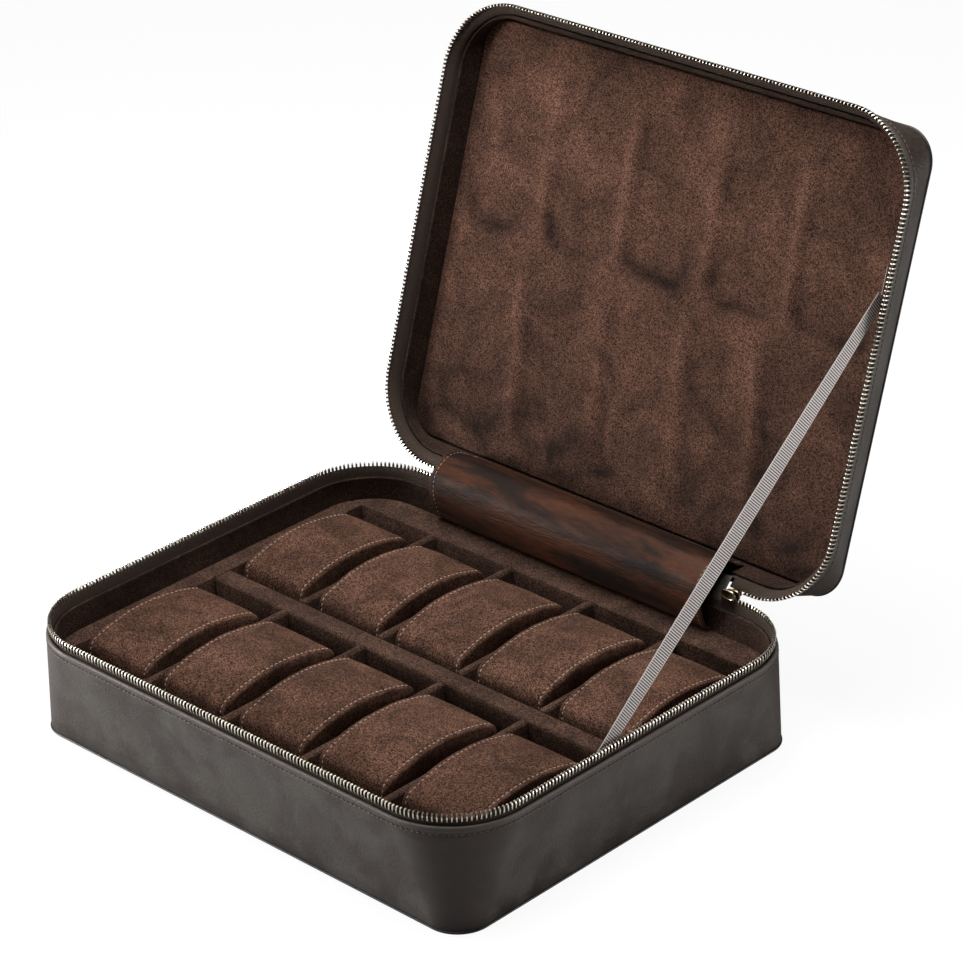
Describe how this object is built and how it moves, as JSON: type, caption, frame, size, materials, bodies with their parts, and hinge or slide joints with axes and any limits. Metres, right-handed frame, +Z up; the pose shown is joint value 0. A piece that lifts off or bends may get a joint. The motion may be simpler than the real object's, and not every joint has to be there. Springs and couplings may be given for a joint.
{
  "type": "watch travel case",
  "caption": "Zip-round leather watch travel case: soft-sided base with a divided suede tray and lift-out pillows, hinged padded lid held open by a ribbon.",
  "frame": {"origin": "centre of the flat underside, on the surface that the case stands on", "axes": "+X to the right along the front, +Y from the front to the hinge side, +Z up"},
  "size_m": [0.3198, 0.3623, 0.3101],
  "materials": {
    "case_leather": "smooth satin cowhide, dark brown to charcoal",
    "edge_paint": "black painted cut edge, half matt",
    "board": "pressed grey-brown board, hidden",
    "lining_suede": "napped brown suede cloth",
    "pillow_suede": "napped brown suede, sewn along both sides",
    "zip_tape": "black woven herringbone tape",
    "zip_metal": "antique brass with a silvery polish on the high spots",
    "hinge_leather": "waxed pull-up leather, red-brown",
    "ribbon": "grey ribbed grosgrain"
  },
  "bodies": {
    "base": {"base_bottom_leather": "case_leather", "base_bottom_edge": "edge_paint", "base_side_leather": "case_leather", "base_floor_board": "board", "base_wall_board": "board", "base_wall_lining": "lining_suede", "base_floor_lining": "lining_suede", "base_zip_tape": "zip_tape", "base_zip_teeth": "zip_metal", "tray_rail_front": "lining_suede", "tray_rail_back": "lining_suede", "tray_rail_left": "lining_suede", "tray_rail_right": "lining_suede", "tray_long_divider": "lining_suede", "tray_cross_dividers": "lining_suede", "zip_slider": "zip_metal", "zip_bottom_stop": "zip_metal", "inner_hinge_leather": "hinge_leather", "outer_hinge_leather": "case_leather", "stay_ribbon": "ribbon", "ribbon_base_tab": "ribbon"},
    "lid": {"ribbon_lid_tab": "ribbon", "lid_top_leather": "case_leather", "lid_top_edge": "edge_paint", "lid_side_leather": "case_leather", "lid_top_board": "board", "lid_wall_board": "board", "lid_wall_lining": "lining_suede", "lid_pad": "lining_suede", "lid_zip_tape": "zip_tape", "lid_zip_teeth": "zip_metal"},
    "zip_pull": {"zip_pull": "zip_metal"},
    "pillow_front_1": {"pillow_front_1": "pillow_suede"},
    "pillow_front_2": {"pillow_front_2": "pillow_suede"},
    "pillow_front_3": {"pillow_front_3": "pillow_suede"},
    "pillow_front_4": {"pillow_front_4": "pillow_suede"},
    "pillow_front_5": {"pillow_front_5": "pillow_suede"},
    "pillow_back_1": {"pillow_back_1": "pillow_suede"},
    "pillow_back_2": {"pillow_back_2": "pillow_suede"},
    "pillow_back_3": {"pillow_back_3": "pillow_suede"},
    "pillow_back_4": {"pillow_back_4": "pillow_suede"},
    "pillow_back_5": {"pillow_back_5": "pillow_suede"}
  },
  "joints": [
    {"name": "lid_hinge", "type": "hinge", "parent": "base", "child": "lid", "pos_m": [0, 0.13, 0.0645], "axis": [-1, 0, 0], "range_deg": [-108, 0], "deforming": ["inner_hinge_leather", "outer_hinge_leather", "stay_ribbon"]},
    {"name": "zip_pull_swing", "type": "hinge", "parent": "base", "child": "zip_pull", "pos_m": [0.1065, 0.13205, 0.0645], "axis": [1, 0, 0], "range_deg": [0, 75]},
    {"name": "pillow_front_1_lift", "type": "slide", "parent": "base", "child": "pillow_front_1", "axis": [0, 0, 1], "range_m": [0, 0.09]},
    {"name": "pillow_front_2_lift", "type": "slide", "parent": "base", "child": "pillow_front_2", "axis": [0, 0, 1], "range_m": [0, 0.09]},
    {"name": "pillow_front_3_lift", "type": "slide", "parent": "base", "child": "pillow_front_3", "axis": [0, 0, 1], "range_m": [0, 0.09]},
    {"name": "pillow_front_4_lift", "type": "slide", "parent": "base", "child": "pillow_front_4", "axis": [0, 0, 1], "range_m": [0, 0.09]},
    {"name": "pillow_front_5_lift", "type": "slide", "parent": "base", "child": "pillow_front_5", "axis": [0, 0, 1], "range_m": [0, 0.09]},
    {"name": "pillow_back_1_lift", "type": "slide", "parent": "base", "child": "pillow_back_1", "axis": [0, 0, 1], "range_m": [0, 0.09]},
    {"name": "pillow_back_2_lift", "type": "slide", "parent": "base", "child": "pillow_back_2", "axis": [0, 0, 1], "range_m": [0, 0.09]},
    {"name": "pillow_back_3_lift", "type": "slide", "parent": "base", "child": "pillow_back_3", "axis": [0, 0, 1], "range_m": [0, 0.09]},
    {"name": "pillow_back_4_lift", "type": "slide", "parent": "base", "child": "pillow_back_4", "axis": [0, 0, 1], "range_m": [0, 0.09]},
    {"name": "pillow_back_5_lift", "type": "slide", "parent": "base", "child": "pillow_back_5", "axis": [0, 0, 1], "range_m": [0, 0.09]}
  ]
}
